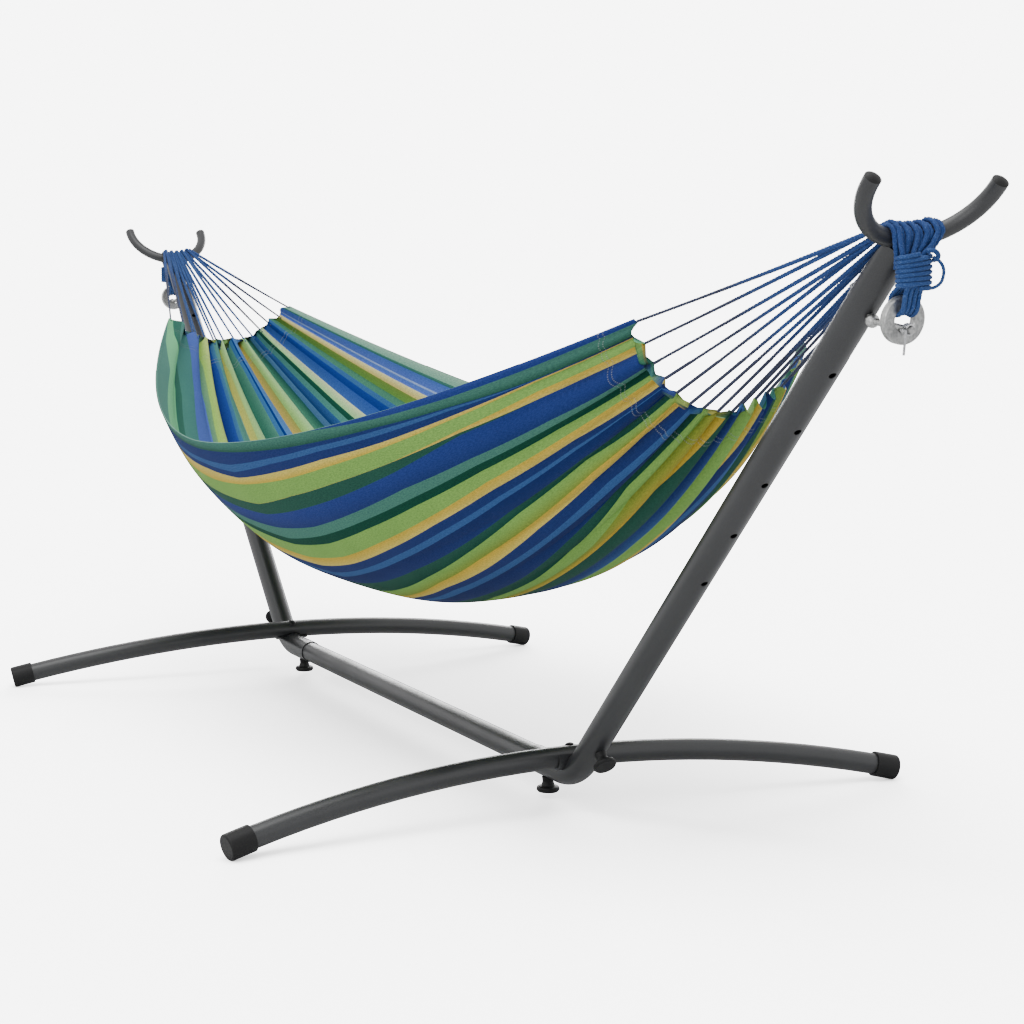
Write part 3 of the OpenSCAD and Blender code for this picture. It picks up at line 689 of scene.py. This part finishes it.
def strand(points, side, d, pitch, **more):
    """Points and faces of a rope along a line that is given for the near end."""
    return rope_mesh(np.array(points) * np.array([side, 1, 1]), d, pitch, **more)[:2]


def fixed_rope(name, parts):
    rope = make_mesh(name, *join_parts(parts), BLUE)
    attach(rope, "stand")
    return rope


def whipping_parts(side):
    """The wound turns, the knot at their top and the ropes inside them."""
    turns = []
    for t in np.linspace(0, TURNS, TURNS * 24 + 1):
        a = 2 * math.pi * t
        z = WHIP_Z + t * RISE + SLANT * (t / TURNS) * WHIP_B * math.sin(a)
        turns.append((WHIP_X + WHIP_A * math.cos(a), WHIP_B * math.sin(a), z))
    knot = [(9, 10, 812), (13, 16, 813), (13, 22, 809), (9, 24, 804), (4, 22, 803)]
    parts = [strand(turns, side, 5.6, 11, step=2.2),
             strand([(WHIP_X + x, y, z) for x, y, z in knot], side, 6.0, 11, step=1.5)]
    for y in (-10, 0, 10):
        parts.append(strand([(WHIP_X, y, 772), (WHIP_X, y, 808)], side, 17, 60, depth=0.05, step=6))
    return parts


def eye_parts(side):
    """Loops that come down from the whipping and go round the steel ring."""
    parts = []
    for y in EYE_LOOPS:
        z = EYE[2] + math.sqrt(RING_R ** 2 - y * y) - RING_R
        loop = [(EYE[0] + EYE_R * math.cos(a), y, z - EYE_R * math.sin(a))
                for a in np.linspace(math.radians(12), math.radians(168), 14)]
        loop = [(1431, y, 776), (1426, y, 766)] + loop + [(1400, y, 764), (1417, y, 776)]
        parts.append(strand(loop, side, 6.0, 12, depth=LAY_DEPTH, step=1.6))
    return parts


TAIL_LOOP = [(1436, 19, 806), (1437, 27, 801), (1437, 32, 794), (1436, 33, 786), (1434, 31, 778),
             (1431, 25, 773), (1428, 19, 772)]
for side, label in ENDS:
    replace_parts(fixed_rope(f"{label}_whipping_cord", whipping_parts(side)), f"{label}_whipping")
    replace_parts(fixed_rope(f"{label}_eye_loops", eye_parts(side)), f"{label}_rope_eye")
    fixed_rope(f"{label}_tail_loop", [strand(TAIL_LOOP, side, 4.2, 9, step=1.4)])


# ---------------------------------------------------------------- floor and light
def floor_material():
    s = Shader("studio_floor")
    s.put(Base_Color=srgb(240, 240, 240), Roughness=0.9)
    return s.mat


def studio_floor(half):
    mesh = bpy.data.meshes.new("floor")
    corners = [(-half, -half, 0), (half, -half, 0), (half, half, 0), (-half, half, 0)]
    mesh.from_pydata(corners, [], [(0, 1, 2, 3)])
    floor = bpy.data.objects.new("floor", mesh)
    floor.data.materials.append(floor_material())
    bpy.context.scene.collection.objects.link(floor)
    floor.is_shadow_catcher = True
    return floor


def studio_world(light, seen, shine):
    """White surroundings of three strengths: as light, as seen by the camera and as seen in reflections."""
    world = bpy.data.worlds.new("studio")
    bpy.context.scene.world = world
    world.use_nodes = True
    tree = world.node_tree
    path = tree.nodes.new("ShaderNodeLightPath")
    look = tree.nodes["Background"]
    look.inputs["Color"].default_value = (0.96, 0.97, 1.0, 1)
    look.inputs["Strength"].default_value = light
    for ray, strength in (("Is Camera Ray", seen), ("Is Glossy Ray", shine)):
        other = tree.nodes.new("ShaderNodeBackground")
        other.inputs["Color"].default_value = (1, 1, 1, 1)
        other.inputs["Strength"].default_value = strength
        both = tree.nodes.new("ShaderNodeMixShader")
        tree.links.new(path.outputs[ray], both.inputs[0])
        tree.links.new(look.outputs[0], both.inputs[1])
        tree.links.new(other.outputs[0], both.inputs[2])
        look = both
    tree.links.new(look.outputs[0], tree.nodes["World Output"].inputs["Surface"])


def area(name, at, aim, size, power):
    """Rectangular light that the camera doesn't see."""
    light = bpy.data.lights.new(name, "AREA")
    light.shape = "RECTANGLE"
    light.size, light.size_y = size
    light.energy = power
    obj = bpy.data.objects.new(name, light)
    obj.location = at
    d = np.array(aim, float) - np.array(at, float)
    obj.rotation_euler = (math.atan2(math.hypot(d[0], d[1]), -d[2]), 0, math.atan2(d[1], d[0]) - math.pi / 2)
    obj.visible_camera = False
    bpy.context.scene.collection.objects.link(obj)


studio_floor(14)
studio_world(light=0.75, seen=7.4, shine=1.5)
area("key_top", (0.6, -0.8, 3.6), (0, 0, 0.3), (3.2, 2.6), 95)
# Low light from behind the far end, which grazes the tops of the tubes
area("rim_light", (-4.5, 2.2, 1.3), (0, 0, 0.1), (3.4, 1.8), 190)
area("front_fill", (3.0, -3.6, 1.8), (0.2, 0, 0.4), (2.4, 1.8), 36)
